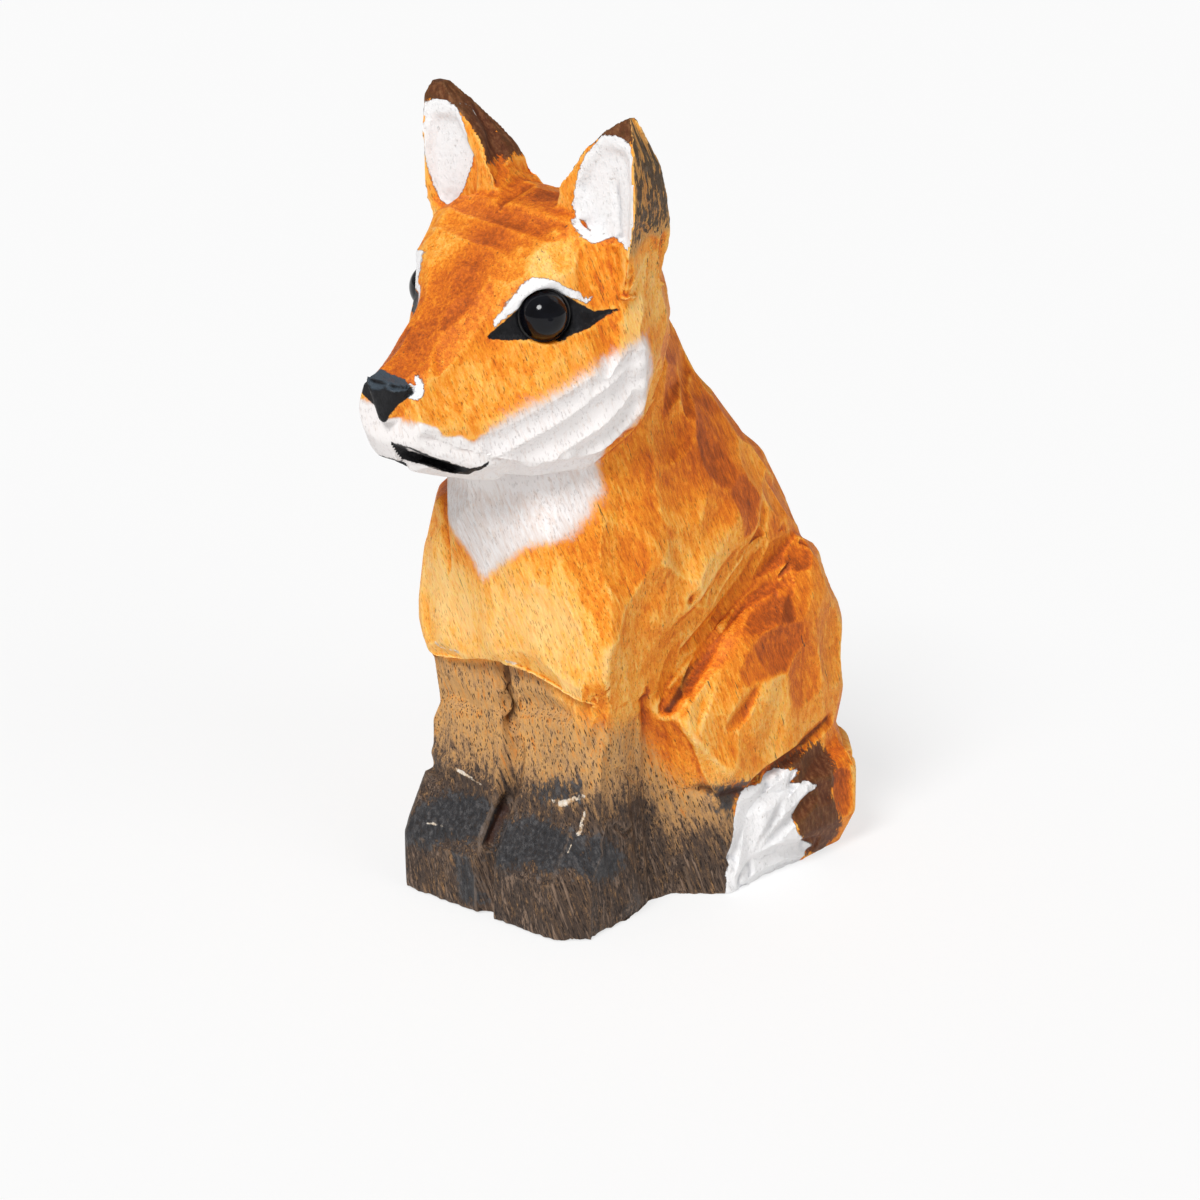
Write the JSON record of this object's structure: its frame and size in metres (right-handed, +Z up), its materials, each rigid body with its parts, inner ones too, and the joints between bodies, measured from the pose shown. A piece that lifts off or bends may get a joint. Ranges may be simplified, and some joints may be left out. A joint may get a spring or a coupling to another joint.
{
  "type": "carved wooden fox figurine",
  "caption": "Small seated fox ornament, knife-carved from one block of wood, stained and painted, with glossy black bead eyes glued into drilled sockets.",
  "frame": {"origin": "on the ground, in the fox's middle plane, under its belly", "axes": "+Z up, the fox looks along -Y, its left side is +X"},
  "size_m": [0.0257, 0.0472, 0.066],
  "materials": {
    "painted_wood": "knife-carved wood, orange stain brushed on, with white and black paint on top",
    "eye_bead": "polished black bead",
    "eye_glue": "dark set glue"
  },
  "bodies": {
    "root": {"carved_body": "painted_wood", "left_eye_bead": "eye_bead", "right_eye_bead": "eye_bead", "left_eye_glue": "eye_glue", "right_eye_glue": "eye_glue"}
  },
  "joints": []
}
